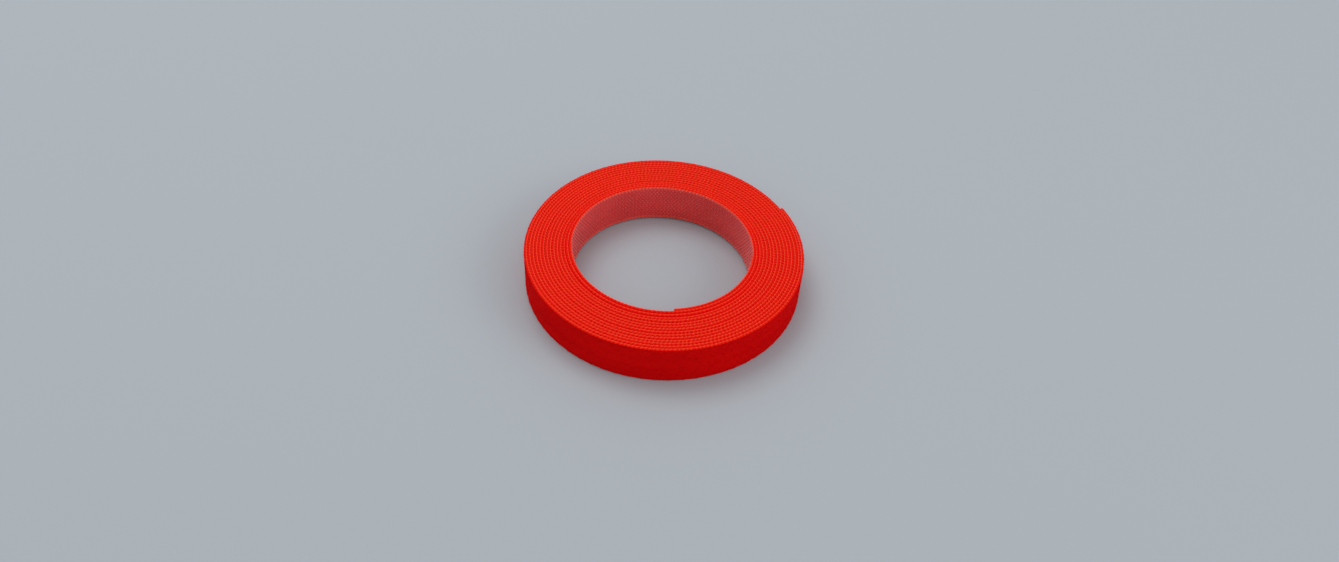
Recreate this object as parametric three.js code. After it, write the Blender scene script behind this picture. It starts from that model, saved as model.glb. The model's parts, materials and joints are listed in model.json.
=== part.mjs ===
// Coreless roll of back-to-back hook and loop tape, lying flat on its edges.
// Two layers are bonded back to back along the whole tape: a moulded hook film that faces the
// bore and a loop fabric that faces outwards. Each layer is one unbroken spiral strip.
// Both free ends can be peeled off the roll. There the tape is cut into short stretches that
// hinge on one another, so that the end bends away in a curve.
// Units are millimetres and degrees, +Z is up, the roll's axis is Z and the floor is Z = 0.

import * as THREE from 'three';

// Tape section, from the hook side to the loop side
const TAPE_WIDTH = 20;
const HOOK_FILM = 0.4;
const BOND_LINE = 0.15;
const LOOP_FABRIC = 0.6;
// Radial room that the hooks and the loops of two mated turns share
const MATED_GAP = 0.72;

// Winding: radius of the hook film at the inner end, and the turns from end to end
const BORE_RADIUS = 41.5;
const TURNS = 13.31;
// Direction of the inner end as seen from the roll's axis. The radius grows anticlockwise.
const INNER_END_ANGLE = -81;
const STEPS_PER_TURN = 40;

// Free ends: length that peels, stretches it bends in, and the slit at each bend
const OUTER_END_LENGTH = 40;
const OUTER_END_STRETCHES = 4;
const INNER_END_LENGTH = 27;
const INNER_END_STRETCHES = 3;
const BEND_SLIT = 0.3;
const STEPS_PER_STRETCH = 2;

const PITCH = HOOK_FILM + BOND_LINE + LOOP_FABRIC + MATED_GAP;
const FULL_TURN = 2 * Math.PI;
const SWEEP = TURNS * FULL_TURN;
const STEP = FULL_TURN / STEPS_PER_TURN;

// Where each layer lies in the tape: depths from the hook face, and its look
const LAYERS = {
  hook_film: {
    from: 0,
    to: HOOK_FILM,
    material: () => new THREE.MeshStandardMaterial({ color: 0xd24a44, roughness: 0.45, metalness: 0 }),
  },
  loop_fabric: {
    from: HOOK_FILM + BOND_LINE,
    to: HOOK_FILM + BOND_LINE + LOOP_FABRIC,
    material: () => new THREE.MeshStandardMaterial({ color: 0xb40a0c, roughness: 0.95, metalness: 0 }),
  },
};

// Radius of the hook face after the tape has swept an angle from its inner end.
function hookFaceRadius(sweep) {
  return BORE_RADIUS + (PITCH * sweep) / FULL_TURN;
}

// Point at a depth in the tape, after it has swept an angle from its inner end.
function tapePoint(sweep, depth) {
  const radius = hookFaceRadius(sweep) + depth;
  const angle = THREE.MathUtils.degToRad(INNER_END_ANGLE) + sweep;
  return new THREE.Vector2(radius * Math.cos(angle), radius * Math.sin(angle));
}

// Points along the tape at one depth, at even steps of the sweep.
function tapeLine(start, end, steps, depth) {
  const points = [];
  for (let i = 0; i <= steps; i += 1) {
    points.push(tapePoint(start + ((end - start) * i) / steps, depth));
  }
  return points;
}

// Least distance from the points of one line to the segments of another, half a turn to a turn
// and a half further along the tape.
function leastGap(points, others, halfTurn) {
  let least = Infinity;
  const closest = new THREE.Vector3();
  const segment = new THREE.Line3();
  points.forEach((point, i) => {
    const at = new THREE.Vector3(point.x, point.y, 0);
    for (let j = i + halfTurn; j + 1 < others.length && j < i + 3 * halfTurn; j += 1) {
      segment.start.set(others[j].x, others[j].y, 0);
      segment.end.set(others[j + 1].x, others[j + 1].y, 0);
      segment.closestPointToPoint(at, true, closest);
      least = Math.min(least, at.distanceTo(closest));
    }
  });
  return least;
}

// Strip of one layer between two sweeps, standing on its edge on the floor.
function strip(layer, start, end, steps) {
  const inner = tapeLine(start, end, steps, layer.from);
  const outer = tapeLine(start, end, steps, layer.to);
  const outline = new THREE.Shape([...outer, ...inner.reverse()]);
  return new THREE.ExtrudeGeometry(outline, { depth: TAPE_WIDTH, bevelEnabled: false });
}

// One named piece for each layer of a stretch of tape.
function addStretch(group, prefix, suffix, start, end, steps) {
  Object.entries(LAYERS).forEach(([layerName, layer]) => {
    const mesh = new THREE.Mesh(strip(layer, start, end, steps), layer.material());
    mesh.name = `${prefix}${layerName}${suffix}`;
    group.add(mesh);
  });
}

// Half of a bend's slit, as a sweep at that place on the tape.
function halfSlit(sweep) {
  return BEND_SLIT / 2 / hookFaceRadius(sweep);
}

// Sweeps of the bends of one free end, from its root to its tip.
function bendSweeps(root, tip, stretches) {
  return Array.from({ length: stretches + 1 }, (_, i) => root + ((tip - root) * i) / stretches);
}

// Stretches of a free end, numbered from the roll. Each bend is a slit; the tip is cut square.
function freeEnd(name, bends) {
  const group = new THREE.Group();
  for (let i = 0; i + 1 < bends.length; i += 1) {
    const away = Math.sign(bends[i + 1] - bends[i]);
    const near = bends[i] + away * halfSlit(bends[i]);
    const isTip = i + 2 === bends.length;
    const far = isTip ? bends[i + 1] : bends[i + 1] - away * halfSlit(bends[i + 1]);
    addStretch(group, `${name}_`, `_${i + 1}`, Math.min(near, far), Math.max(near, far), STEPS_PER_STRETCH);
  }
  return group;
}

// Wound part of the tape, from the root of the inner end to the root of the outer end.
function winding(innerRoot, outerRoot) {
  const group = new THREE.Group();
  const start = innerRoot + halfSlit(innerRoot);
  const end = outerRoot - halfSlit(outerRoot);
  const steps = Math.round((end - start) / STEP);
  addStretch(group, 'wound_', '', start, end, steps);

  const halfTurn = Math.floor(STEPS_PER_TURN / 2);
  Object.entries(LAYERS).forEach(([layerName, layer]) => {
    const inner = tapeLine(start, end, steps, layer.from);
    const outer = tapeLine(start, end, steps, layer.to);
    const gap = Math.min(leastGap(outer, inner, halfTurn), leastGap(inner, outer, halfTurn));
    console.log(`wound ${layerName}: least gap to its own next turn ${gap.toFixed(3)} mm`);
  });
  return group;
}

const innerRoot = INNER_END_LENGTH / hookFaceRadius(0);
const outerRoot = SWEEP - OUTER_END_LENGTH / hookFaceRadius(SWEEP);
const innerBends = bendSweeps(innerRoot, 0, INNER_END_STRETCHES);
const outerBends = bendSweeps(outerRoot, SWEEP, OUTER_END_STRETCHES);

const roll = new THREE.Group();
roll.add(winding(innerRoot, outerRoot));
roll.add(freeEnd('outer_end', outerBends));
roll.add(freeEnd('inner_end', innerBends));

export default roll;
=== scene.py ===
"""Roll of red back-to-back hook and loop tape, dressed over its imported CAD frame.

Every piece of the tape is modelled flat, as the tape is before it is wound: x runs along the tape from its
inner end, -y is the depth through it from the hook face, and z is the height in the roll. The flat place of
each point is kept in the attribute "tape" for the finishes, and then the piece is wound on one spiral path.
"""

import json
import logging
import math
from collections.abc import Iterator
from contextlib import contextmanager
from dataclasses import dataclass, field
from enum import Enum

import bmesh
import bpy
import numpy as np
from mathutils import Matrix, Vector

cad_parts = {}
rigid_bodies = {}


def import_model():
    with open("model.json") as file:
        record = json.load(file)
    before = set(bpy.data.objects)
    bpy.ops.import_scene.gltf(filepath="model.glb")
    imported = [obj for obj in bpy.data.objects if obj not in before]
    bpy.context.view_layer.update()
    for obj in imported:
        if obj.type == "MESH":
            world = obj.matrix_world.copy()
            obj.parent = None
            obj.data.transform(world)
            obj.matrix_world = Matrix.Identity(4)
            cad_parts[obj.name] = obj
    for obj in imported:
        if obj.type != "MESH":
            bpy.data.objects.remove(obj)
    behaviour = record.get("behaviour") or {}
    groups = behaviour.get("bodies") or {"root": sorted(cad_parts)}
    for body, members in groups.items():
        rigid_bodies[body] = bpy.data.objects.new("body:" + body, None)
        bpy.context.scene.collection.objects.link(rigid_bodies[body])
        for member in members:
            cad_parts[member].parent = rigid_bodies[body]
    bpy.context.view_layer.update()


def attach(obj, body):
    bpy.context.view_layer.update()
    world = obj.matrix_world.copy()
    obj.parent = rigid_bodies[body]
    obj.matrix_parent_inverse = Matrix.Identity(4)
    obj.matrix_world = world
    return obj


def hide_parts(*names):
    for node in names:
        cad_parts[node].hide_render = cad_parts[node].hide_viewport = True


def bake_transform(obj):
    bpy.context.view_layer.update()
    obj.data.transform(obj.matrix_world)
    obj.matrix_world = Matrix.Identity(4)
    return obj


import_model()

Piece = bpy.types.Object
Socket = bpy.types.NodeSocket
Pair = tuple[float, float]
Colour = tuple[float, float, float, float]

LOG = logging.getLogger("tape_roll")
MM = 0.001
TAPE_PLACE = "tape"
UNIT: Pair = (0.0, 1.0)
WAVE: Pair = (-1.0, 1.0)


class Layer(Enum):
    """The two layers of the tape, by the word that their CAD nodes carry."""

    FILM = "hook_film"
    FABRIC = "loop_fabric"


class Facing(Enum):
    """The way that a row of loops stands, as the turn that stands it there from +z."""

    OUTWARDS = math.radians(90)
    UP = 0.0
    DOWN = math.radians(180)


class Grid(Enum):
    """How finely a strip is divided, by the step along the tape and the rows across it."""

    FINE = (1.5 * MM, 20)
    PLAIN = (2.4 * MM, 2)
    PILE = (1.5 * MM, 2)
    BENDING = (0.5 * MM, 20)


@dataclass(frozen=True)
class Span:
    """A length of the flat tape, between two distances from its inner end."""

    start: float
    end: float

    @classmethod
    def between(cls, first: float, second: float) -> "Span":
        """The span between two places, given in either order."""
        return cls(min(first, second), max(first, second))

    @property
    def length(self) -> float:
        """Length of the span in metres."""
        return self.end - self.start

    @property
    def middle(self) -> float:
        """Distance of the span's middle from the inner end."""
        return (self.start + self.end) / 2


@dataclass(frozen=True)
class Section:
    """Sizes across the tape: its width and the depths of its layers from the hook face."""

    width: float = 20 * MM
    film: Pair = (0.0, 0.37 * MM)
    fabric: Pair = (0.38 * MM, 1.15 * MM)
    mated_pile: Pair = (1.09 * MM, 1.62 * MM)
    end_pile: Pair = (1.09 * MM, 1.32 * MM)
    pile_set_back: float = 0.38 * MM
    film_edge: float = 0.05 * MM
    fabric_edge: float = 0.14 * MM
    pile_edge: float = 0.10 * MM
    slit_face: float = 0.075 * MM

    def layer(self, layer: Layer) -> tuple[Pair, float]:
        """Depths of a layer, and the round of its edges."""
        return (self.film, self.film_edge) if layer is Layer.FILM else (self.fabric, self.fabric_edge)


@dataclass(frozen=True)
class Winding:
    """The spiral that the tape's hook face follows, and the wander of its turns."""

    bore_radius: float = 41.5 * MM
    outer_radius: float = 66.39 * MM
    turns: float = 14.31
    start_angle: float = math.radians(-81)
    steps_per_turn: int = 180
    lift: float = 0.30 * MM
    lift_reach: float = 55 * MM
    wander: float = 0.16 * MM
    wander_reach: float = 38 * MM
    bore_rise: float = 0.8 * MM
    rise_turns: int = 3
    bore_ease: float = 0.8 * MM
    bore_shift: float = 0.5 * MM
    bore_oval: float = 0.45 * MM
    wide_angle: float = math.radians(160)
    inner_press: float = 0.45 * MM
    outer_press: float = 0.36 * MM
    press_reach: float = 150 * MM

    def sweeps(self) -> np.ndarray:
        """Even steps of the sweep from the inner to the outer end."""
        return np.linspace(0.0, self.turns * math.tau, int(self.turns * self.steps_per_turn) + 1)

    def ease(self, angle: np.ndarray) -> np.ndarray:
        """How far the bore stands outside a true spiral: it is drawn to one side and a little oval."""
        turned = angle - self.wide_angle
        return self.bore_ease + self.bore_shift * np.cos(turned) + self.bore_oval * np.cos(2 * turned)

    def line(self) -> np.ndarray:
        """Points of the spiral in plan, one for each sweep.

        The bore's ease fades out towards the outer turn. Each end is pressed against the turn it lies on.

        Returns:
            An array of x and y.
        """
        sweeps = self.sweeps()
        angle = self.start_angle + sweeps
        share = sweeps / sweeps[-1]
        radius = self.bore_radius + (self.outer_radius - self.bore_radius) * share
        from_inner = np.clip(radius[0] * sweeps / self.press_reach, 0.0, 1.0)
        from_outer = np.clip(radius[-1] * (sweeps[-1] - sweeps) / self.press_reach, 0.0, 1.0)
        radius += self.ease(angle) * (1 - share)
        radius += self.inner_press * (1 - from_inner) ** 2 - self.outer_press * (1 - from_outer) ** 2
        return np.stack([radius * np.cos(angle), radius * np.sin(angle)], axis=1)

    def lengths(self) -> np.ndarray:
        """Length of tape from the inner end to each point of the spiral."""
        return np.concatenate([[0.0], np.cumsum(np.linalg.norm(np.diff(self.line(), axis=0), axis=1))])

    def total(self) -> float:
        """Length of the whole tape."""
        return float(self.lengths()[-1])

    def length_at(self, sweep: float) -> float:
        """Length of tape from the inner end to a sweep."""
        return float(np.interp(sweep, self.sweeps(), self.lengths()))

    def turn_before(self, length: float) -> float:
        """Place on the tape one turn further in than the given place."""
        sweep = float(np.interp(length, self.lengths(), self.sweeps()))
        return self.length_at(sweep - math.tau)

    def point(self, length: float, height: float) -> Vector:
        """Point of the hook face at a length along the tape."""
        plan = [np.interp(length, self.lengths(), column) for column in self.line().T]
        return Vector((*plan, height))

    def path(self) -> Piece:
        """Helper curve that flat pieces are wound on.

        Returns:
            A flat curve object, which is removed once every piece is wound.
        """
        line = self.line()
        rows = np.column_stack([line, np.zeros(len(line)), np.ones(len(line))])
        data = bpy.data.curves.new("winding_path", "CURVE")
        data.dimensions = "2D"
        spline = data.splines.new("POLY")
        spline.points.add(len(line) - 1)
        spline.points.foreach_set("co", rows.ravel())
        path = bpy.data.objects.new("winding_path", data)
        bpy.context.collection.objects.link(path)
        return path


def deselect() -> None:
    """Leave edit mode and deselect every object."""
    if bpy.context.object is not None and bpy.context.object.mode != "OBJECT":
        bpy.ops.object.mode_set(mode="OBJECT")
    bpy.ops.object.select_all(action="DESELECT")


def pick(*objects: Piece) -> None:
    """Select only these objects and make the first one active.

    Args:
        objects: The objects to select.
    """
    deselect()
    for obj in objects:
        obj.select_set(True)
    bpy.context.view_layer.objects.active = objects[0]


@contextmanager
def editing(piece: Piece) -> Iterator[None]:
    """Open a piece in edit mode with all of it selected, and close it after the block.

    Args:
        piece: The piece to work on.
    """
    pick(piece)
    bpy.ops.object.mode_set(mode="EDIT")
    bpy.ops.mesh.select_all(action="SELECT")
    yield
    bpy.ops.object.mode_set(mode="OBJECT")


def apply_modifier(piece: Piece, kind: str, **values: object) -> None:
    """Add one modifier to a piece and apply it.

    Args:
        piece: The piece to change.
        kind: The modifier's type.
        values: The modifier's settings.
    """
    pick(piece)
    modifier = piece.modifiers.new(kind.lower(), kind)
    for name, value in values.items():
        setattr(modifier, name, value)
    bpy.ops.object.modifier_apply(modifier=modifier.name)


def repeat(piece: Piece, count: int, step: tuple[float, float, float]) -> None:
    """Repeat a flat piece in even steps, as one mesh."""
    apply_modifier(piece, "ARRAY", count=count, use_relative_offset=False, use_constant_offset=True,
                   constant_offset_displace=step)


def join_all(name: str, objects: list[Piece]) -> Piece:
    """Join objects into one mesh.

    Args:
        name: Name of the joined piece.
        objects: The objects to join; the first one keeps its place.

    Returns:
        The joined object.
    """
    pick(*objects)
    if len(objects) > 1:
        bpy.ops.object.join()
    joined = bpy.context.object
    joined.name = joined.data.name = name
    return joined


class Winder:
    """Winds flat pieces on the spiral, each with the same wander of the turns."""

    def __init__(self, winding: Winding) -> None:
        """Make the path, the two slow wanders of the tape and the rise of its innermost turn.

        Args:
            winding: The spiral and the amounts of its wander.
        """
        self.winding = winding
        self.path = winding.path()
        self.lift = self.slow_noise("turn_lift", winding.lift_reach)
        self.wander = self.slow_noise("turn_wander", winding.wander_reach)
        self.rise = self.bore_rise(winding.length_at(math.tau))

    @staticmethod
    def slow_noise(name: str, reach: float) -> bpy.types.Texture:
        """A smooth noise along the tape.

        Args:
            name: Name of the texture.
            reach: Length of its waves.

        Returns:
            The texture.
        """
        noise = bpy.data.textures.new(name, "CLOUDS")
        noise.noise_scale = reach
        noise.noise_depth = 0
        return noise

    def bore_rise(self, turn: float) -> bpy.types.Texture:
        """A ramp that is full along the innermost turn and fades out over the next ones.

        A blend texture goes through its colour ramp from x = -1 to x = 1.

        Args:
            turn: Length of the innermost turn.

        Returns:
            The texture.
        """
        rise = bpy.data.textures.new("bore_turn_rise", "BLEND")
        rise.use_color_ramp = True
        first, last = rise.color_ramp.elements
        first.position, first.color = (1 + turn) / 2, (1, 1, 1, 1)
        last.position, last.color = (1 + turn * self.winding.rise_turns) / 2, (0, 0, 0, 1)
        return rise

    def wind(self, piece: Piece) -> Piece:
        """Keep each point's flat place, then wind the piece on the spiral.

        Args:
            piece: A flat piece in the tape's own axes.

        Returns:
            The same piece, wound.
        """
        mesh = piece.data
        place = np.zeros(len(mesh.vertices) * 3, np.float32)
        mesh.vertices.foreach_get("co", place)
        place[1::3] *= -1
        mesh.attributes.new(TAPE_PLACE, "FLOAT_VECTOR", "POINT").data.foreach_set("vector", place)
        moves = (
            (self.rise, "Z", 0.0, self.winding.bore_rise),
            (self.lift, "Z", 0.2, self.winding.lift),
            (self.wander, "Y", 0.5, self.winding.wander),
        )
        for texture, direction, middle, strength in moves:
            apply_modifier(piece, "DISPLACE", texture=texture, texture_coords="LOCAL", direction=direction,
                           mid_level=middle, strength=strength)
        apply_modifier(piece, "CURVE", object=self.path, deform_axis="POS_X")
        return piece

    def clear(self) -> None:
        """Remove the path and the textures once every piece is wound."""
        bpy.data.objects.remove(self.path)
        for texture in (self.lift, self.wander, self.rise):
            bpy.data.textures.remove(texture)


@dataclass(frozen=True)
class Strip:
    """A flat strip of one layer, standing on its edge."""

    span: Span
    depths: Pair
    heights: Pair
    grid: Grid
    edge: float
    edge_segments: int = 2
    edge_profile: float = 0.6
    smooth_angle: float = math.radians(40)
    near: float = 0.01 * MM

    def build(self, name: str) -> Piece:
        """Model the strip from a grid, with its thickness and its rounded long edges.

        Args:
            name: Name of the piece.

        Returns:
            The flat strip.
        """
        deselect()
        low, high = self.heights
        step, rows = self.grid.value
        columns = max(2, round(self.span.length / step))
        bpy.ops.mesh.primitive_grid_add(x_subdivisions=columns, y_subdivisions=rows, size=1.0)
        strip = bpy.context.object
        strip.name = strip.data.name = name
        with editing(strip):
            bpy.ops.transform.resize(value=(self.span.length, high - low, 1.0))
            bpy.ops.transform.rotate(value=math.radians(-90), orient_axis="X", center_override=(0, 0, 0))
            bpy.ops.transform.translate(value=(self.span.middle, -self.depths[0], (low + high) / 2))
        apply_modifier(strip, "SOLIDIFY", thickness=self.depths[1] - self.depths[0], offset=1.0)
        self.round_long_edges(strip)
        pick(strip)
        bpy.ops.object.shade_smooth_by_angle(angle=self.smooth_angle)
        return strip

    def round_long_edges(self, strip: Piece) -> None:
        """Bevel the edges that run along the tape at its two sides.

        Args:
            strip: The flat strip.
        """
        with editing(strip):
            bpy.ops.mesh.select_mode(type="EDGE")
            bpy.ops.mesh.select_all(action="DESELECT")
            mesh = bmesh.from_edit_mesh(strip.data)
            for edge in mesh.edges:
                first, second = (vert.co for vert in edge.verts)
                along = abs(first.x - second.x) > self.near and abs(first.y - second.y) < self.near
                edge.select = along and self.at_side(first) and self.at_side(second)
            bmesh.update_edit_mesh(strip.data)
            bpy.ops.mesh.bevel(offset=self.edge, segments=self.edge_segments, profile=self.edge_profile,
                               affect="EDGES")

    def at_side(self, place: Vector) -> bool:
        """Whether a point lies at one of the strip's two sides."""
        return min(abs(place.z - height) for height in self.heights) < self.near


def select_whole(piece: Piece, span: Span) -> None:
    """Select each whole loop or hook that has a point in a span.

    Args:
        piece: The flat piece of loops or hooks, open in edit mode.
        span: The length of tape to select in.
    """
    bpy.ops.mesh.select_mode(type="VERT")
    mesh = bmesh.from_edit_mesh(piece.data)
    for vert in mesh.verts:
        vert.select = span.start <= vert.co.x < span.end
    mesh.select_flush_mode()
    bmesh.update_edit_mesh(piece.data)
    bpy.ops.mesh.select_linked()


def trim_past(piece: Piece, end: float) -> None:
    """Delete the loops or hooks that the last repeat puts past the end of a span.

    Args:
        piece: The flat piece to trim.
        end: Where the span ends on the tape.
    """
    with editing(piece):
        select_whole(piece, Span(end, math.inf))
        bpy.ops.mesh.delete(type="VERT")


def cut_off(piece: Piece, name: str, span: Span) -> Piece:
    """Separate the loops or hooks of one span from a flat piece.

    Args:
        piece: The flat piece to take from.
        name: Name of the part that is cut off.
        span: The length of tape whose whole loops or hooks go.

    Returns:
        The part that was cut off.
    """
    with editing(piece):
        select_whole(piece, span)
        bpy.ops.mesh.separate(type="SELECTED")
    part = next(obj for obj in bpy.context.selected_objects if obj is not piece)
    part.name = part.data.name = name
    return part


@dataclass(frozen=True)
class HookField:
    """Moulded hooks in rows along the tape, each row facing the other way from the next.

    Each step of the curl has its way along the tape, its rise as a share of the hook's height, its turn in
    degrees and its taper.
    """

    pitch: float = 1.85 * MM
    row_gap: float = 1.28 * MM
    row_pairs: int = 8
    height: float = 0.50 * MM
    stem: Pair = (0.46 * MM, 0.38 * MM)
    root: float = 0.04 * MM
    curl: tuple[tuple[float, float, float, float], ...] = (
        (0.00 * MM, 0.46, 0, 0.74),
        (0.05 * MM, 0.28, 24, 0.95),
        (0.12 * MM, 0.14, 40, 0.92),
        (0.16 * MM, -0.02, 42, 0.80),
        (0.10 * MM, -0.16, 34, 0.45),
    )

    def hook(self) -> Piece:
        """Model one hook: a stem extruded from the film that curls over along the tape.

        Returns:
            The hook at the flat tape's origin, facing +x.
        """
        deselect()
        bpy.ops.mesh.primitive_plane_add(size=1.0)
        hook = bpy.context.object
        at = Vector((0, -self.root, 0))
        with editing(hook):
            bpy.ops.transform.resize(value=(*self.stem, 1.0))
            bpy.ops.transform.rotate(value=math.radians(90), orient_axis="X", center_override=(0, 0, 0))
            bpy.ops.transform.translate(value=at)
            for along, rise, turn, taper in self.curl:
                move = Vector((along, rise * (self.height + self.root), 0))
                at = at + move
                bpy.ops.mesh.extrude_region_move(TRANSFORM_OT_translate={"value": move})
                bpy.ops.transform.rotate(value=math.radians(turn), orient_axis="Z", center_override=at)
                bpy.ops.transform.resize(value=(taper, taper, taper), center_override=at)
            bpy.ops.mesh.select_all(action="SELECT")
            bpy.ops.mesh.normals_make_consistent(inside=False)
        bpy.ops.object.shade_smooth()
        return hook

    def facing_back(self, hook: Piece) -> Piece:
        """Copy a hook into the next row and turn the copy round.

        Args:
            hook: A hook that faces +x.

        Returns:
            The copy, which faces -x.
        """
        pick(hook)
        bpy.ops.object.duplicate()
        back = bpy.context.object
        with editing(back):
            bpy.ops.transform.rotate(value=math.radians(180), orient_axis="Y", center_override=(0, 0, 0))
            bpy.ops.transform.translate(value=(self.pitch / 2, 0, self.row_gap))
        return back

    def build(self, name: str, span: Span, width: float) -> Piece:
        """Cover a span of the film with hooks.

        Args:
            name: Name of the piece.
            span: The length of tape to cover.
            width: Width of the tape.

        Returns:
            The flat field of hooks.
        """
        first = self.hook()
        pair = join_all(name, [first, self.facing_back(first)])
        self.place(pair, span, (width - (2 * self.row_pairs - 1) * self.row_gap) / 2)
        repeat(pair, self.row_pairs, (0, 0, 2 * self.row_gap))
        trim_past(pair, span.end)
        return pair

    def build_row(self, name: str, span: Span, height: float) -> Piece:
        """Set one row of hooks along a span of the film.

        Args:
            name: Name of the piece.
            span: The length of tape to cover.
            height: Height of the row.

        Returns:
            The flat row of hooks.
        """
        row = join_all(name, [self.hook()])
        self.place(row, span, height)
        trim_past(row, span.end)
        return row

    def place(self, hooks: Piece, span: Span, height: float) -> None:
        """Set the hooks at the start of a span, then repeat them along it.

        Args:
            hooks: The hooks at the flat tape's origin.
            span: The length of tape to cover.
            height: Height of the lowest hook.
        """
        with editing(hooks):
            bpy.ops.transform.translate(value=(span.start + self.pitch / 4, 0, height))
        repeat(hooks, math.ceil(span.length / self.pitch), (self.pitch, 0, 0))


@dataclass(frozen=True)
class LoopBand:
    """A band of yarn loops that repeats along the tape, each loop with its own size, lean and turn."""

    seed: int
    period: float
    heights: Pair
    depths: Pair
    count: int
    facing: Facing
    yarn: float = 0.055 * MM
    yarn_sides: int = 3
    reach: float = 0.30 * MM
    arch_steps: int = 4
    lean: Pair = (-0.5, 0.5)
    turn: Pair = (0, math.tau)
    tip: Pair = (-0.4, 0.4)
    stagger: Pair = (0.1, 0.9)
    spread: Pair = (0.7, 1.25)
    tall: Pair = (0.75, 1.3)

    def arch(self) -> Piece:
        """Model one loop: a thin yarn section spun through half a turn.

        Returns:
            The loop at the origin, standing along +z.
        """
        deselect()
        bpy.ops.mesh.primitive_circle_add(vertices=self.yarn_sides, radius=self.yarn, fill_type="NOTHING")
        arch = bpy.context.object
        with editing(arch):
            bpy.ops.transform.translate(value=(self.reach, 0, 0))
            bpy.ops.mesh.spin(steps=self.arch_steps, angle=math.pi, center=(0, 0, 0), axis=(0, 1, 0))
            bpy.ops.mesh.select_all(action="SELECT")
            bpy.ops.mesh.normals_make_consistent(inside=False)
        bpy.ops.object.shade_smooth()
        return arch

    def build(self, name: str, span: Span) -> Piece:
        """Scatter one period of loops, then repeat it along a span.

        Args:
            name: Name of the piece.
            span: The length of tape to cover.

        Returns:
            The flat band of loops.
        """
        random = np.random.default_rng(self.seed)
        arch = self.arch()
        loops = []
        for index in range(self.count):
            pick(arch)
            bpy.ops.object.duplicate()
            loop = bpy.context.object
            lean, turn, tip = (random.uniform(*limits) for limits in (self.lean, self.turn, self.tip))
            about = (turn, tip) if self.facing is Facing.OUTWARDS else (tip, turn)
            loop.rotation_euler = (self.facing.value + lean, *about)
            loop.location = (
                span.start + self.period * (index + random.uniform(*self.stagger)) / self.count,
                -random.uniform(*self.depths),
                random.uniform(*self.heights),
            )
            spread, tall = random.uniform(*self.spread), random.uniform(*self.tall)
            loop.scale = (spread, 1.0, tall)
            loops.append(loop)
        bpy.data.objects.remove(arch)
        pick(*loops)
        bpy.ops.object.transform_apply(location=True, rotation=True, scale=True)
        band = join_all(name, loops)
        repeat(band, math.ceil(span.length / self.period), (self.period, 0, 0))
        trim_past(band, span.end)
        return band


class Wiring:
    """Adds nodes to one node tree and joins them."""

    node_step: float = 180

    def __init__(self, tree: bpy.types.NodeTree) -> None:
        """Take the tree to work on."""
        self.tree = tree

    def add(self, kind: str, settings: dict[str, object] | None = None, **inputs: object) -> bpy.types.Node:
        """Add a node, set its properties, and set or join its inputs.

        Args:
            kind: The node's type.
            settings: The node's own properties by name.
            inputs: Input sockets by name, with _ for a space; each is a value or an output socket.

        Returns:
            The new node.
        """
        node = self.tree.nodes.new(kind)
        node.location.x = self.node_step * len(self.tree.nodes)
        for name, value in (settings or {}).items():
            setattr(node, name, value)
        for name, value in inputs.items():
            self.feed(node.inputs[name.replace("_", " ")], value)
        return node

    def feed(self, socket: Socket, value: object) -> None:
        """Join an output socket to an input, or set the input's own value.

        Args:
            socket: The input.
            value: An output socket, or a value of the input's kind.
        """
        if isinstance(value, Socket):
            self.tree.links.new(value, socket)
        else:
            socket.default_value = value

    def feed_all(self, node: bpy.types.Node, *values: object) -> Socket:
        """Feed a node's first inputs in their order.

        Args:
            node: The node.
            values: Output sockets or values for its inputs.

        Returns:
            The node's first output.
        """
        for socket, value in zip(node.inputs, values):
            self.feed(socket, value)
        return node.outputs[0]

    def math(self, operation: str, *values: object) -> Socket:
        """A Math node's result."""
        return self.feed_all(self.add("ShaderNodeMath", {"operation": operation}), *values)

    def times(self, *values: object) -> Socket:
        """Product of two values."""
        return self.math("MULTIPLY", *values)

    def ramp(self, value: Socket, given: Pair = UNIT, to: Pair = UNIT) -> Socket:
        """A smooth step from one value to another as the input goes from low to high."""
        node = self.add("ShaderNodeMapRange", {"interpolation_type": "SMOOTHSTEP"})
        return self.feed_all(node, value, *given, *to)

    def blend(self, share: object, first: object, second: object, way: str = "MIX") -> Socket:
        """Mix two colours.

        Args:
            share: How much of the second colour there is.
            first: The first colour.
            second: The second colour.
            way: How they are mixed.

        Returns:
            The mixed colour.
        """
        node = self.add("ShaderNodeMix", {"data_type": "RGBA", "blend_type": way})
        self.feed(node.inputs["Factor"], share)
        self.feed(node.inputs[6], first)
        self.feed(node.inputs[7], second)
        return node.outputs[2]

    def axis(self, place: Socket, name: str) -> Socket:
        """One axis of a place."""
        return self.add("ShaderNodeSeparateXYZ", Vector=place).outputs[name]

    def noise(self, place: Socket, scale: object, detail: float, roughness: float = 0.5) -> Socket:
        """A noise over the tape's place."""
        return self.add("ShaderNodeTexNoise", Vector=place, Scale=scale, Detail=detail,
                        Roughness=roughness).outputs[0]


def new_group(name: str, amount: str, *outputs: str) -> tuple[Wiring, Socket, Socket]:
    """Start a shader node group that reads the tape's place and one amount.

    Args:
        name: Name of the group.
        amount: Name of the amount's input.
        outputs: Names of the group's outputs, which are all values.

    Returns:
        The group's wiring, the place and the amount.
    """
    tree = bpy.data.node_groups.new(name, "ShaderNodeTree")
    tree.interface.new_socket("Place", in_out="INPUT", socket_type="NodeSocketVector")
    tree.interface.new_socket(amount, in_out="INPUT", socket_type="NodeSocketFloat")
    for output in outputs:
        tree.interface.new_socket(output, in_out="OUTPUT", socket_type="NodeSocketFloat")
    wiring = Wiring(tree)
    given = wiring.add("NodeGroupInput")
    return wiring, given.outputs["Place"], given.outputs[amount]


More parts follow.
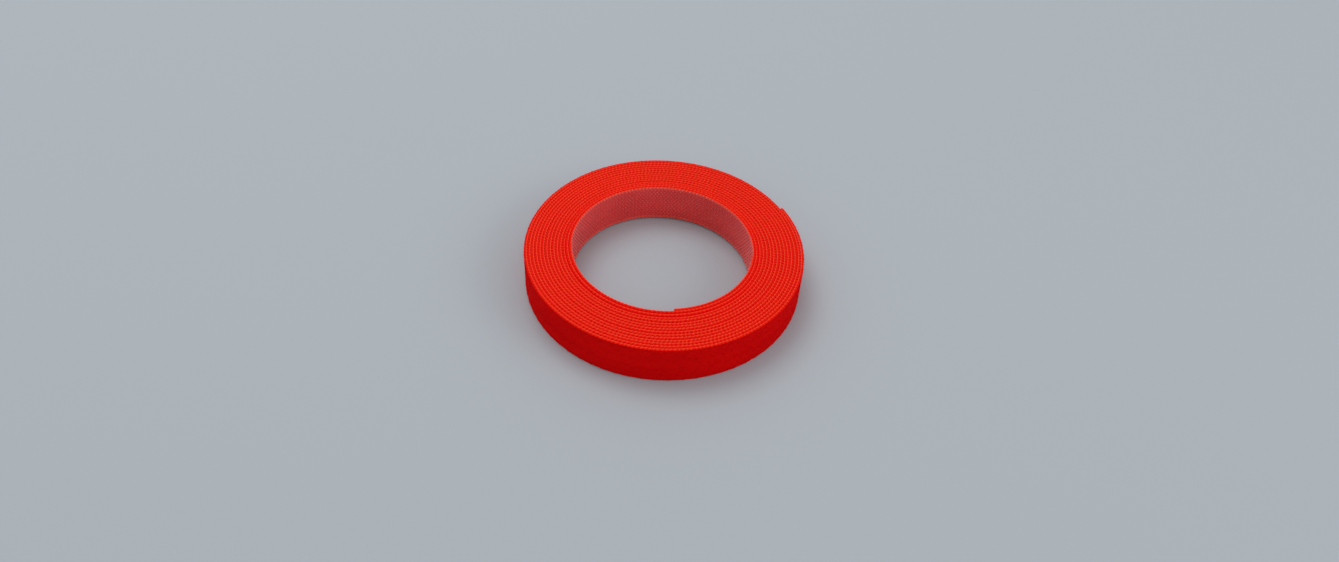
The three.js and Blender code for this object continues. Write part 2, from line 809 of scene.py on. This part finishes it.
class SharedEffects:
    """Node groups that more than one finish of the tape uses."""

    dye_stretch: tuple[float, float, float] = (1.0, 4.0, 2.5)
    dye_range: Pair = (0.3, 0.7)
    ragged: float = 0.5 * MM
    ragged_scale: float = 700.0
    slit_range: Pair = (0.2, 1.0)
    dash_scale: float = 260.0
    dash_range: Pair = (-0.5, 0.7)
    grain_range: Pair = (0.25, 0.75)

    def __init__(self) -> None:
        """Build each group once."""
        self.drift = self.make_drift()
        self.slit_edge = self.make_slit_edge()
        self.dashes = self.make_dashes()
        self.grain = self.make_grain()

    def make_drift(self) -> bpy.types.NodeTree:
        """Slow change of dye along the tape.

        Returns:
            A group that puts out the drift, from 0 to 1.
        """
        wiring, place, waves = new_group("dye_drift", "Waves", "Drift")
        stretch = wiring.add("ShaderNodeVectorMath", {"operation": "MULTIPLY"})
        stretched = wiring.feed_all(stretch, place, self.dye_stretch)
        noise = wiring.noise(stretched, waves, detail=3.0, roughness=0.55)
        wiring.add("NodeGroupOutput", Drift=wiring.ramp(noise, self.dye_range))
        return wiring.tree

    def make_slit_edge(self) -> bpy.types.NodeTree:
        """Mask of the tape's two slit sides, ragged as a cut is.

        Returns:
            A group that puts out the mask.
        """
        wiring, place, reach = new_group("slit_edge", "Reach", "Mask")
        half = Section().width / 2
        from_middle = wiring.math("ABSOLUTE", wiring.math("SUBTRACT", wiring.axis(place, "Z"), half))
        inside = wiring.math("SUBTRACT", half, from_middle)
        noise = wiring.math("SUBTRACT", wiring.noise(place, self.ragged_scale, detail=2.0), 0.5)
        share = wiring.math("DIVIDE", wiring.math("ADD", inside, wiring.times(noise, self.ragged)), reach)
        wiring.add("NodeGroupOutput", Mask=wiring.ramp(share, self.slit_range, (1.0, 0.0)))
        return wiring.tree

    def make_dashes(self) -> bpy.types.NodeTree:
        """Mask of the even dashes that the knit and the hook roots leave along a slit side.

        Returns:
            A group that puts out the mask.
        """
        wiring, place, spacing = new_group("edge_dashes", "Spacing", "Mask")
        along = wiring.math("DIVIDE", wiring.axis(place, "X"), spacing)
        turns = wiring.math("ADD", along, wiring.noise(place, self.dash_scale, detail=1.0))
        wave = wiring.math("COSINE", wiring.times(turns, math.tau))
        wiring.add("NodeGroupOutput", Mask=wiring.ramp(wave, self.dash_range))
        return wiring.tree

    def make_grain(self) -> bpy.types.NodeTree:
        """Fine grain of a surface.

        Returns:
            A group that puts out the grain's mottle, from 0 to 1, and its height.
        """
        wiring, place, scale = new_group("fine_grain", "Scale", "Mottle", "Height")
        noise = wiring.noise(place, scale, detail=4.0, roughness=0.65)
        wiring.add("NodeGroupOutput", Mottle=wiring.ramp(noise, self.grain_range), Height=noise)
        return wiring.tree


class Surface(Wiring):
    """Wiring of one material of the tape, which reads the flat tape place."""

    def __init__(self, name: str, shared: SharedEffects) -> None:
        """Start the material with its shader.

        Args:
            name: Name of the material.
            shared: The node groups that the finishes share.
        """
        self.material = bpy.data.materials.new(name)
        self.material.use_nodes = True
        self.material.node_tree.nodes.clear()
        super().__init__(self.material.node_tree)
        self.shared = shared
        self.place = self.add("ShaderNodeAttribute", {"attribute_name": TAPE_PLACE}).outputs["Vector"]
        self.shader = self.add("ShaderNodeBsdfPrincipled")
        self.add("ShaderNodeOutputMaterial", Surface=self.shader.outputs[0])

    def effect(self, group: bpy.types.NodeTree, **amount: float) -> bpy.types.Node:
        """Place a shared effect with its own amount."""
        return self.add("ShaderNodeGroup", {"node_tree": group}, Place=self.place, **amount)


@dataclass(frozen=True, kw_only=True)
class Finish:
    """A finish of the tape: its dye, its fine grain, its relief and its shine."""

    name: str
    deep: Colour
    bright: Colour
    dye_waves: float
    grain_scale: float
    mottle: Pair
    roughness: Pair
    bump: float
    relief: float
    gloss: float = 0.03
    sheen: float = 0.05
    sheen_roughness: float = 0.5
    sheen_tint: Colour = (1.0, 0.05, 0.04, 1.0)

    def make(self, shared: SharedEffects) -> bpy.types.Material:
        """Wire the finish's material.

        Args:
            shared: The node groups that the finishes share.

        Returns:
            The material.
        """
        surface = Surface(self.name, shared)
        grain = surface.effect(shared.grain, Scale=self.grain_scale)
        mottle = grain.outputs["Mottle"]
        plain = surface.ramp(mottle, to=self.mottle)
        shade, height = self.pattern(surface, plain, grain.outputs["Height"])
        bump = surface.add("ShaderNodeBump", Strength=self.bump, Distance=self.relief, Height=height)
        values = {
            "Base Color": surface.blend(1.0, self.colour(surface), shade, "MULTIPLY"),
            "Roughness": surface.ramp(mottle, to=self.roughness),
            "Normal": bump.outputs[0],
            "Specular IOR Level": self.gloss,
            "Sheen Weight": self.sheen,
            "Sheen Roughness": self.sheen_roughness,
            "Sheen Tint": self.sheen_tint,
        }
        for name, value in values.items():
            surface.feed(surface.shader.inputs[name], value)
        return surface.material

    def dye(self, surface: Surface) -> Socket:
        """How bright the dye is from place to place."""
        return surface.effect(surface.shared.drift, Waves=self.dye_waves).outputs["Drift"]

    def colour(self, surface: Surface) -> Socket:
        """The dyed colour, before its shade."""
        return surface.blend(self.dye(surface), self.deep, self.bright)

    def pattern(self, surface: Surface, shade: Socket, height: Socket) -> tuple[Socket, Socket]:
        """Shade and height of the grain, to which a finish adds its own pattern."""
        return shade, height


@dataclass(frozen=True, kw_only=True)
class SlitFinish(Finish):
    """A finish that is brighter at the tape's two slit sides, with dashes along them."""

    slit: Colour
    slit_share: float
    slit_reach: float
    dash: Colour
    dash_share: float
    dash_spacing: float = HookField().pitch

    def colour(self, surface: Surface) -> Socket:
        """Dye the layer and lay its slit sides over it.

        Args:
            surface: The material's wiring.

        Returns:
            The colour, before its shade.
        """
        slit = surface.effect(surface.shared.slit_edge, Reach=self.slit_reach).outputs["Mask"]
        dashes = surface.effect(surface.shared.dashes, Spacing=self.dash_spacing).outputs["Mask"]
        dashed = surface.times(slit, surface.times(dashes, self.dash_share))
        colour = surface.blend(surface.times(slit, self.slit_share), super().colour(surface), self.slit)
        return surface.blend(dashed, colour, self.dash)


@dataclass(frozen=True, kw_only=True)
class FilmFinish(SlitFinish):
    """Moulded hook film: red plastic with fine ribs, paler at its slit sides, with painted haze towards the
    hook tips.
    """

    # Painted haze: the hook tips are paler, standing in for the light that the glossy hooks catch and
    # scatter.
    tip: Colour
    tip_haze_share: float = 0.8
    tip_haze_depths: Pair = (-0.46 * MM, -0.24 * MM)
    dye_waves: float = 26.0
    grain_scale: float = 1500.0
    mottle: Pair = (0.90, 1.08)
    bump: float = 0.35
    relief: float = 0.05 * MM
    rib_spacing: float = 0.5 * MM
    rib_height: float = 0.25
    slit_share: float = 0.75
    slit_reach: float = 0.7 * MM
    dash_share: float = 0.8
    sheen: float = 0.0
    sheen_roughness: float = 0.35
    sheen_tint: Colour = (1.0, 0.74, 0.70, 1.0)

    def colour(self, surface: Surface) -> Socket:
        """Colour of the slit film, paler towards the tips of the hooks: a painted haze that stands in for
        the light that the hooks catch.
        """
        tip = surface.ramp(surface.axis(surface.place, "Y"), self.tip_haze_depths, (self.tip_haze_share, 0.0))
        return surface.blend(tip, super().colour(surface), self.tip)

    def pattern(self, surface: Surface, shade: Socket, height: Socket) -> tuple[Socket, Socket]:
        """Lay the grain over the film's ribs.

        Args:
            surface: The material's wiring.
            shade: Shade of the grain.
            height: Height of the grain.

        Returns:
            The same shade, and the height of both.
        """
        across = surface.times(surface.axis(surface.place, "Z"), math.tau / self.rib_spacing)
        ribs = surface.times(surface.math("SINE", across), self.rib_height)
        return shade, surface.math("ADD", ribs, height)


@dataclass(frozen=True, kw_only=True)
class FabricFinish(SlitFinish):
    """Knit ground of the loop fabric: matt deep red stitches with painted shade in the gaps between them,
    and a faint fibre sheen.
    """

    name: str = "loop_fabric_red"
    deep: Colour = (0.78, 0.0010, 0.0020, 1.0)
    bright: Colour = (0.88, 0.0025, 0.0028, 1.0)
    slit: Colour = (0.84, 0.0050, 0.0028, 1.0)
    slit_share: float = 0.7
    slit_reach: float = 0.5 * MM
    dash: Colour = (0.93, 0.0240, 0.0060, 1.0)
    dash_share: float = 0.72
    dye_waves: float = 34.0
    grain_scale: float = 2600.0
    grain_height: float = 0.8
    mottle: Pair = (0.86, 1.12)
    roughness: Pair = (0.86, 1.0)
    bump: float = 0.6
    relief: float = 0.12 * MM
    wale: float = 0.62 * MM
    course: float = 0.48 * MM
    course_lean: float = 1.3
    course_height: Pair = (0.35, 1.0)
    # Painted shade: the colour is darker in the low gaps between the stitches, where shade falls.
    painted_gap_shade: Pair = (0.82, 1.10)

    def pattern(self, surface: Surface, shade: Socket, height: Socket) -> tuple[Socket, Socket]:
        """Lay the grain over the stitches, with painted shade where the knit is low.

        Args:
            surface: The material's wiring.
            shade: Shade of the grain.
            height: Height of the grain.

        Returns:
            The shade and the height of both.
        """
        stitch = self.stitches(surface)
        shade = surface.times(surface.ramp(stitch, to=self.painted_gap_shade), shade)
        return shade, surface.math("ADD", stitch, surface.times(height, self.grain_height))

    def stitches(self, surface: Surface) -> Socket:
        """Wales along the tape, crossed by courses that lean from wale to wale.

        Args:
            surface: The material's wiring.

        Returns:
            The height of the knit, from 0 to 1.
        """
        across = surface.times(surface.axis(surface.place, "Z"), math.tau / self.wale)
        along = surface.times(surface.axis(surface.place, "X"), math.tau / self.course)
        lean = surface.times(surface.math("SINE", across), self.course_lean)
        wales = surface.ramp(surface.math("COSINE", across), WAVE)
        leaning = surface.math("SINE", surface.math("ADD", along, lean))
        return surface.times(wales, surface.ramp(leaning, WAVE, self.course_height))


@dataclass(frozen=True, kw_only=True)
class PileFinish(Finish):
    """Loop pile: fine yarn loops, each a little lighter or darker than the next."""

    name: str = "loop_pile_red"
    deep: Colour = (0.76, 0.0008, 0.0022, 1.0)
    bright: Colour = (0.90, 0.0022, 0.0030, 1.0)
    dye_waves: float = 34.0
    dye_share: float = 0.4
    yarn_scale: float = 1100.0
    yarn_share: float = 0.6
    grain_scale: float = 5200.0
    mottle: Pair = (0.86, 1.12)
    roughness: Pair = (0.84, 1.0)
    bump: float = 0.5
    relief: float = 0.06 * MM

    def dye(self, surface: Surface) -> Socket:
        """Add the change from yarn to yarn to the slow change of the dye.

        Args:
            surface: The material's wiring.

        Returns:
            How bright the dye is.
        """
        drift = surface.times(super().dye(surface), self.dye_share)
        yarn = surface.effect(surface.shared.grain, Scale=self.yarn_scale).outputs["Mottle"]
        return surface.math("ADD", drift, surface.times(yarn, self.yarn_share))


@dataclass(frozen=True)
class Finishes:
    """The tape's materials: the open hook film, its slit edges, the fabric and its pile."""

    film: bpy.types.Material
    film_edges: bpy.types.Material
    fabric: bpy.types.Material
    pile: bpy.types.Material

    @classmethod
    def make(cls) -> "Finishes":
        """Build the shared effects and the materials that use them.

        Returns:
            The materials.
        """
        open_film = FilmFinish(
            name="hook_film_red", deep=(0.71, 0.023, 0.021, 1.0), bright=(0.825, 0.038, 0.035, 1.0),
            # The tip colour is painted haze on the hooks, standing in for the light that they catch.
            slit=(0.96, 0.080, 0.052, 1.0), dash=(0.96, 0.090, 0.060, 1.0), tip=(0.90, 0.150, 0.140, 1.0),
            # The pale slit band reaches 2 mm in from each side: partly the pale cut edge, partly a painted
            # highlight of the light along the bore's rim.
            gloss=0.5, roughness=(0.30, 0.46), slit_reach=2.0 * MM, sheen=0.66,
        )
        slit_film = FilmFinish(
            name="slit_film_red", deep=(0.80, 0.0080, 0.0030, 1.0), bright=(0.90, 0.0160, 0.0050, 1.0),
            slit=(0.94, 0.0360, 0.0110, 1.0), dash=(0.97, 0.0660, 0.0200, 1.0),
            # This tip colour is a faint painted haze on the edge hooks.
            tip=(0.95, 0.0440, 0.0150, 1.0), gloss=0.1, roughness=(0.50, 0.66),
        )
        shared = SharedEffects()
        return cls(*(finish.make(shared) for finish in (open_film, slit_film, FabricFinish(), PileFinish())))


def dress(piece: Piece, material: bpy.types.Material, node: str) -> None:
    """Give a piece its finish, and hide the CAD node that it stands for.

    Args:
        piece: The finished piece.
        material: Its material.
        node: The CAD node that it replaces.
    """
    piece.data.materials.clear()
    piece.data.materials.append(material)
    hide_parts(node)
    LOG.info("%s: %d faces", piece.name, len(piece.data.polygons))


def dress_sides(piece: Piece, material: bpy.types.Material, section: Section) -> None:
    """Give the faces at the tape's two sides a finish of their own.

    Args:
        piece: A dressed strip.
        material: The finish of its slit sides.
        section: The tape's width, and how far in from a side a face of that side may reach.
    """
    piece.data.materials.append(material)
    place = piece.data.attributes[TAPE_PLACE].data
    for face in piece.data.polygons:
        heights = [place[index].vector.z for index in face.vertices]
        if max(min(height, section.width - height) for height in heights) < section.slit_face:
            face.material_index = 1


@dataclass(frozen=True)
class FreeEnd:
    """One free end of the tape, with bend places at even stretches from its root on the roll."""

    name: str
    root: float
    tip: float
    stretches: int
    bend_share: float = 0.8

    def bends(self) -> list[float]:
        """Places of the bends on the tape, from the root."""
        return [self.root + (self.tip - self.root) * i / self.stretches for i in range(self.stretches)]

    def half(self) -> float:
        """Half a stretch, with the sign of the way to the tip."""
        return (self.tip - self.root) / self.stretches / 2

    def spans(self) -> list[Span]:
        """The length of tape round each bend, from mid-stretch to mid-stretch; the last goes to the tip.

        Returns:
            One span for each bend, from the root.
        """
        bends, half = self.bends(), self.half()
        ends = [*(bend + half for bend in bends[:-1]), self.tip]
        return [Span.between(bend - half, end) for bend, end in zip(bends, ends)]

    def reach(self) -> Span:
        """The whole length that the end's pieces cover."""
        return Span.between(self.root - self.half(), self.tip)

    def label(self, what: str, index: int) -> str:
        """Name of a piece at one bend; with a layer's word, it is the name of the CAD node there."""
        return f"{self.name}_end_{what}_{index + 1}"

    def hinge(self, piece: Piece, index: int, winding: Winding) -> None:
        """Bake a wound piece's place into its mesh; the points of the hook face at either side of its bend,
        over the middle share of the piece, are worked out but not used.

        Args:
            piece: The wound piece.
            index: Which bend it lies at, from the root.
            winding: The spiral that it is wound on.
        """
        bend, reach, height = self.bends()[index], self.half() * self.bend_share, Section().width / 2
        winding.point(bend - reach, height)
        winding.point(bend + reach, height)
        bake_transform(piece)


@dataclass
class TapeRoll:
    """The wound tape with its two free ends."""

    finishes: Finishes
    winding: Winding = field(default_factory=Winding)
    section: Section = field(default_factory=Section)
    hooks: HookField = field(default_factory=HookField)
    outer_length: float = 40 * MM
    outer_stretches: int = 4
    inner_length: float = 27 * MM
    inner_stretches: int = 3
    bore_overlap: float = 3 * MM
    wall_overlap: float = 2 * MM
    hook_row: float = 0.24 * MM
    loop_root: float = 0.06 * MM
    edge_loop_spread: float = 0.05 * MM
    edge_loop_period: float = 11.3 * MM
    edge_loop_count: int = 15
    cloth: list[Piece] = field(default_factory=list)

    def __post_init__(self) -> None:
        """Work out the free ends and the places where the visible turns begin and end."""
        total = self.winding.total()
        self.winder = Winder(self.winding)
        self.inner = FreeEnd("inner", self.inner_length, 0.0, self.inner_stretches)
        self.outer = FreeEnd("outer", total - self.outer_length, total, self.outer_stretches)
        self.start = self.inner.reach().end
        self.end = self.outer.reach().start
        self.open_end = self.winding.length_at(math.tau)
        self.bore_end = self.open_end + self.start + self.bore_overlap
        self.wall_start = self.winding.turn_before(self.end) - self.wall_overlap
        self.pile_heights = (self.section.pile_set_back, self.section.width - self.section.pile_set_back)

    def strip(self, name: str, layer: Layer, span: Span, grid: Grid) -> Piece:
        """A flat strip of one layer over the tape's full width."""
        depths, edge = self.section.layer(layer)
        return Strip(span, depths, (0.0, self.section.width), grid, edge).build(name)

    def pile_strip(self, name: str, span: Span, depths: Pair) -> Piece:
        """A flat strip of pile, set back from the tape's two sides."""
        return Strip(span, depths, self.pile_heights, Grid.PILE, self.section.pile_edge).build(name)

    def wall_bands(self) -> dict[str, LoopBand]:
        """The bands of loops that cover the fabric's face, each with its own period.

        Returns:
            The bands by their places, from the tape's lower side up.
        """
        face, width = self.section.fabric[1], self.section.width
        rows = (
            ("lower_rim", 14, 6.1 * MM, (0.25 * MM, 0.6 * MM), 18),
            ("lower_wall", 11, 7.1 * MM, (0.5 * MM, 6.9 * MM), 62),
            ("middle_wall", 12, 8.3 * MM, (6.7 * MM, 13.3 * MM), 73),
            ("upper_wall", 13, 9.7 * MM, (13.1 * MM, 19.5 * MM), 85),
            ("upper_rim", 15, 6.7 * MM, (width - 0.6 * MM, width - 0.25 * MM), 20),
        )
        return {
            place: LoopBand(seed, period, heights, (face - self.loop_root, face), count, Facing.OUTWARDS)
            for place, seed, period, heights, count in rows
        }

    def finish(self, piece: Piece, material: bpy.types.Material, layer: Layer, node: str) -> None:
        """Wind and dress a flat piece, and keep it if it is part of the loop fabric.

        Args:
            piece: The flat piece.
            material: Its material.
            layer: The tape layer that it belongs to.
            node: The CAD node that it replaces.
        """
        dress(self.winder.wind(piece), material, node)
        if layer is Layer.FABRIC:
            self.cloth.append(piece)

    def fix_on_roll(self, pieces: list[Piece], material: bpy.types.Material, layer: Layer) -> None:
        """Wind and dress flat pieces of the wound tape, which stay on the roll.

        Args:
            pieces: The flat pieces.
            material: Their material.
            layer: The tape layer that they belong to.
        """
        for piece in pieces:
            self.finish(piece, material, layer, f"wound_{layer.value}")
            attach(piece, "roll")

    def fix_on_end(self, end: FreeEnd, index: int, piece: Piece, material: bpy.types.Material,
                   layer: Layer) -> None:
        """Wind and dress a flat piece of a free end at one of its bends."""
        self.finish(piece, material, layer, end.label(layer.value, index))
        end.hinge(piece, index, self.winding)

    def build_film(self) -> None:
        """Build the wound hook film, with the hooks of the bore and of the slit edges."""
        width, rest = self.section.width, Span(self.bore_end, self.end)
        bore_hooks = self.hooks.build("bore_turn_hooks", Span(0.0, self.bore_end), width)
        self.cut_end_hooks(self.inner, bore_hooks)
        bore_strips = [
            self.strip("bore_turn_film", Layer.FILM, Span(self.start, self.open_end), Grid.FINE),
            self.strip("behind_end_film", Layer.FILM, Span(self.open_end, self.bore_end), Grid.FINE),
        ]
        between = [
            self.strip("wound_turns_film", Layer.FILM, rest, Grid.PLAIN),
            self.hooks.build_row("upper_edge_hooks", rest, width - self.hook_row),
            self.hooks.build_row("lower_edge_hooks", rest, self.hook_row),
        ]
        self.fix_on_roll([*bore_strips, bore_hooks], self.finishes.film, Layer.FILM)
        self.fix_on_roll(between, self.finishes.film_edges, Layer.FILM)
        for strip in bore_strips:
            dress_sides(strip, self.finishes.film_edges, self.section)

    def build_fabric(self) -> None:
        """Build the wound loop fabric, with the pile and the loops between the turns."""
        wall, rest = Span(self.wall_start, self.end), Span(self.start, self.wall_start)
        under_end = Span(self.wall_start, self.winding.turn_before(self.winding.total()))
        ground = [
            self.strip("outer_turn_fabric", Layer.FABRIC, wall, Grid.FINE),
            self.strip("wound_turns_fabric", Layer.FABRIC, rest, Grid.PLAIN),
        ]
        pile = [
            self.pile_strip("mated_pile", rest, self.section.mated_pile),
            self.pile_strip("under_end_pile", under_end, self.section.end_pile),
        ]
        low, high = self.pile_heights
        sides = (
            ("upper", 21, (high - self.edge_loop_spread, high), Facing.UP),
            ("lower", 22, (low, low + self.edge_loop_spread), Facing.DOWN),
        )
        for side, seed, heights, facing in sides:
            band = LoopBand(seed, self.edge_loop_period, heights, self.section.mated_pile,
                            self.edge_loop_count, facing)
            pile.append(band.build(f"{side}_edge_loops", rest))
        self.fix_on_roll(ground, self.finishes.fabric, Layer.FABRIC)
        self.fix_on_roll(pile, self.finishes.pile, Layer.FABRIC)

    def build_wall_pile(self) -> None:
        """Build the loops of the outer wall and cut off those of the outer free end."""
        covered = Span(self.wall_start, self.winding.total())
        bands = [band.build(f"{place}_loops", covered) for place, band in self.wall_bands().items()]
        self.cut_end_pile(self.outer, bands)
        self.fix_on_roll(bands, self.finishes.pile, Layer.FABRIC)

    def build_inner_pile(self) -> None:
        """Build the loops on the back of the inner free end."""
        reach = self.inner.reach()
        bands = [band.build(f"{place}_back", reach) for place, band in self.wall_bands().items()]
        self.cut_end_pile(self.inner, bands)
        for band in bands:
            bpy.data.objects.remove(band)

    def build_outer_hooks(self) -> None:
        """Build the hooks on the back of the outer free end."""
        hooks = self.hooks.build("outer_back_hooks", self.outer.reach(), self.section.width)
        self.cut_end_hooks(self.outer, hooks)
        bpy.data.objects.remove(hooks)

    def cut_end_pile(self, end: FreeEnd, bands: list[Piece]) -> None:
        """Cut the loops of each stretch of a free end from the bands, and wind and dress them there.

        Args:
            end: The free end.
            bands: The flat bands of loops that cover it.
        """
        for index, span in enumerate(end.spans()):
            name = end.label("loops", index)
            parts = [cut_off(band, f"{name}_{i}", span) for i, band in enumerate(bands)]
            self.fix_on_end(end, index, join_all(name, parts), self.finishes.pile, Layer.FABRIC)

    def cut_end_hooks(self, end: FreeEnd, hooks: Piece) -> None:
        """Cut the hooks of each stretch of a free end from a field, and wind and dress them there.

        Args:
            end: The free end.
            hooks: The flat field of hooks that covers it.
        """
        for index, span in enumerate(end.spans()):
            part = cut_off(hooks, end.label("hooks", index), span)
            self.fix_on_end(end, index, part, self.finishes.film, Layer.FILM)

    def build_end(self, end: FreeEnd) -> None:
        """Build the film and the fabric of a free end, one piece round each bend.

        The inner end's fabric faces the next turn, so it has a strip of mated pile as well.

        Args:
            end: The free end.
        """
        for index, span in enumerate(end.spans()):
            film = self.strip(end.label("film", index), Layer.FILM, span, Grid.BENDING)
            fabric = self.strip(end.label("fabric", index), Layer.FABRIC, span, Grid.BENDING)
            self.fix_on_end(end, index, film, self.finishes.film, Layer.FILM)
            self.fix_on_end(end, index, fabric, self.finishes.fabric, Layer.FABRIC)
            if end is self.inner:
                pile = self.pile_strip(end.label("pile", index), span, self.section.end_pile)
                self.fix_on_end(end, index, pile, self.finishes.pile, Layer.FABRIC)
            dress_sides(film, self.finishes.film_edges, self.section)

    def build(self) -> None:
        """Build every piece of the roll."""
        self.build_film()
        self.build_fabric()
        self.build_wall_pile()
        self.build_inner_pile()
        self.build_outer_hooks()
        self.build_end(self.outer)
        self.build_end(self.inner)
        self.winder.clear()
        self.declare_fabric()

    def declare_fabric(self) -> None:
        self.winding.total()


@dataclass(frozen=True)
class Lamp:
    """A soft square lamp that points at the roll."""

    name: str
    place: tuple[float, float, float]
    size: float
    energy: float

    def hang(self) -> None:
        """Add the lamp to the scene."""
        data = bpy.data.lights.new(self.name, "AREA")
        data.size = self.size
        data.energy = self.energy
        lamp = bpy.data.objects.new(self.name, data)
        lamp.location = self.place
        lamp.rotation_euler = (-Vector(self.place)).to_track_quat("-Z", "Y").to_euler()
        bpy.context.scene.collection.objects.link(lamp)


@dataclass(frozen=True)
class Studio:
    """Pale floor, soft light and the camera of the photograph."""

    floor_size: float = 6.0
    floor_colour: Colour = (0.40, 0.435, 0.465, 1.0)
    floor_roughness: float = 0.8
    sky_colour: Colour = (0.96, 0.98, 1.0, 1.0)
    sky_strength: float = 0.66
    lamps: tuple[Lamp, ...] = (
        Lamp("back_lamp", place=(-0.6, 0.7, 1.7), size=1.2, energy=12.8),
        Lamp("side_lamp", place=(1.5, -0.5, 1.0), size=1.0, energy=6.5),
    )
    elevation: float = math.radians(44.62)
    distance: float = 0.538
    aim: tuple[float, float, float] = (3.73 * MM, -3.0 * MM, 0.0)
    roll: float = math.radians(3.83)
    lens: float = 29.46

    def build_floor(self) -> None:
        """Lay the floor."""
        deselect()
        bpy.ops.mesh.primitive_plane_add(size=self.floor_size)
        floor = bpy.context.object
        floor.name = floor.data.name = "floor"
        material = bpy.data.materials.new("floor_pale")
        material.use_nodes = True
        shader = material.node_tree.nodes["Principled BSDF"]
        shader.inputs["Base Color"].default_value = self.floor_colour
        shader.inputs["Roughness"].default_value = self.floor_roughness
        floor.data.materials.append(material)

    def light(self) -> None:
        """Set the sky, the lamp behind the roll at the left and the weaker one at its right."""
        scene = bpy.context.scene
        scene.world = bpy.data.worlds.new("studio_sky")
        scene.world.use_nodes = True
        sky = scene.world.node_tree.nodes["Background"]
        sky.inputs["Color"].default_value = self.sky_colour
        sky.inputs["Strength"].default_value = self.sky_strength
        for lamp in self.lamps:
            lamp.hang()

    def place_camera(self) -> None:
        """Set the camera at the photograph's angle."""
        data = bpy.data.cameras.new("camera")
        data.lens = self.lens
        data.sensor_fit = "HORIZONTAL"
        camera = bpy.data.objects.new("camera", data)
        right = Vector((1, 0, 0))
        up = Vector((0, math.sin(self.elevation), math.cos(self.elevation)))
        back = Vector((0, -math.cos(self.elevation), math.sin(self.elevation)))
        cos, sin = math.cos(self.roll), math.sin(self.roll)
        axes = Matrix((right * cos + up * sin, up * cos - right * sin, back)).transposed()
        camera.matrix_world = Matrix.Translation(Vector(self.aim) + back * self.distance) @ axes.to_4x4()
        bpy.context.scene.collection.objects.link(camera)
        bpy.context.scene.camera = camera

    def build(self) -> None:
        """Set the whole studio."""
        self.place_camera()
        self.build_floor()
        self.light()
        bpy.context.scene.view_settings.view_transform = "Standard"


def main() -> None:
    """Build the studio and the dressed roll."""
    logging.basicConfig(level=logging.INFO, format="%(name)s %(message)s")
    Studio().build()
    TapeRoll(Finishes.make()).build()


if __name__ == "__main__":
    main()
